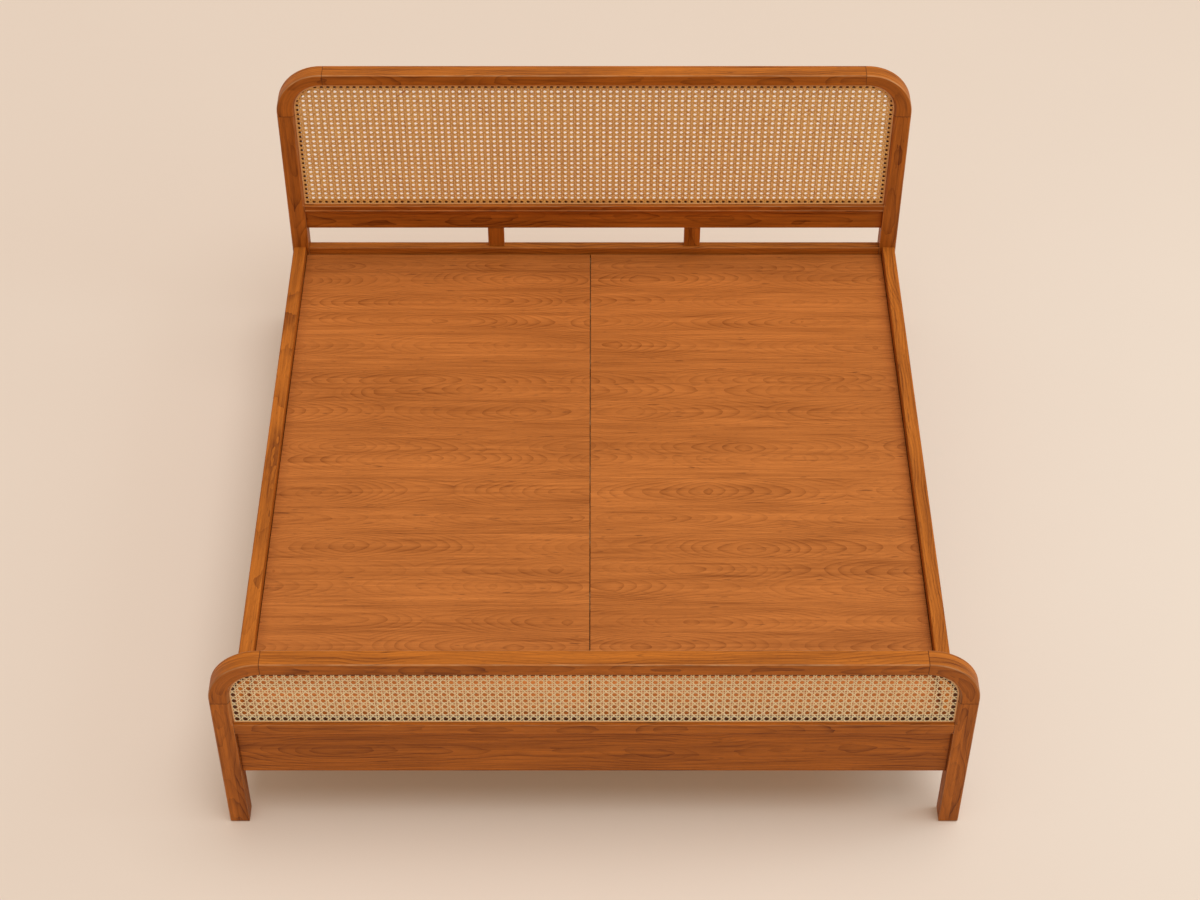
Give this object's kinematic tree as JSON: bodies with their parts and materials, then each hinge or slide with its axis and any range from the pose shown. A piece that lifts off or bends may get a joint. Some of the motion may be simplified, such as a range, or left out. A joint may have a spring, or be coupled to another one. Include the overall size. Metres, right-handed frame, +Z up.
{
  "type": "bed frame",
  "caption": "Low double bed frame in stained wood with rounded, woven-cane footboard and headboard, side rails, slatted base and loose deck boards for a mattress.",
  "frame": {"origin": "on the floor, under the middle of the bed's bounding box", "axes": "+X to the right seen from the foot, +Y from the footboard to the headboard, +Z up"},
  "size_m": [2.084, 2.164, 1.068],
  "materials": {
    "stained_wood": "satin stained hardwood",
    "deck_veneer": "satin veneered board",
    "plain_wood": "unfinished softwood",
    "cane": "woven rattan cane, natural",
    "reed": "natural reed",
    "zinc_steel": "zinc plated",
    "black_steel": "powder coated",
    "dark_pad": "moulded glide"
  },
  "bodies": {
    "bed_frame": {"foot_leg_left": "stained_wood", "foot_leg_right": "stained_wood", "foot_corner_left": "stained_wood", "foot_corner_right": "stained_wood", "foot_top_rail": "stained_wood", "foot_bead_rail": "stained_wood", "foot_apron": "stained_wood", "head_leg_left": "stained_wood", "head_leg_right": "stained_wood", "head_corner_left": "stained_wood", "head_corner_right": "stained_wood", "head_top_rail": "stained_wood", "head_bead_rail": "stained_wood", "head_lower_rail": "stained_wood", "head_cross_rail": "stained_wood", "head_post_left": "stained_wood", "head_post_right": "stained_wood", "side_rail_left": "stained_wood", "side_rail_right": "stained_wood", "centre_leg_1": "stained_wood", "centre_leg_2": "stained_wood", "centre_leg_3": "stained_wood", "side_cleat_left": "plain_wood", "side_cleat_right": "plain_wood", "foot_end_cleat": "plain_wood", "head_end_cleat": "plain_wood", "centre_beam": "plain_wood", "foot_cane_backing": "plain_wood", "head_cane_backing": "plain_wood", "foot_dowels": "plain_wood", "head_dowels": "plain_wood", "slat_1": "plain_wood", "slat_2": "plain_wood", "slat_3": "plain_wood", "slat_4": "plain_wood", "slat_5": "plain_wood", "slat_6": "plain_wood", "slat_7": "plain_wood", "foot_cane": "cane", "head_cane": "cane", "foot_cane_spline": "reed", "head_cane_spline": "reed", "cleat_screws": "zinc_steel", "slat_screws": "zinc_steel", "hanger_screws": "zinc_steel", "centre_leg_screws": "zinc_steel", "rail_bolts": "zinc_steel", "rail_washers": "zinc_steel", "rail_nuts": "zinc_steel", "beam_hangers": "black_steel", "centre_leg_plates": "black_steel", "corner_glides": "dark_pad", "centre_glides": "dark_pad"},
    "deck_left": {"deck_board_left": "deck_veneer"},
    "deck_right": {"deck_board_right": "deck_veneer"}
  },
  "joints": [
    {"name": "deck_left_lift", "type": "slide", "parent": "bed_frame", "child": "deck_left", "axis": [0, 0, 1], "range_m": [0, 0.45]},
    {"name": "deck_right_lift", "type": "slide", "parent": "bed_frame", "child": "deck_right", "axis": [0, 0, 1], "range_m": [0, 0.45]}
  ]
}
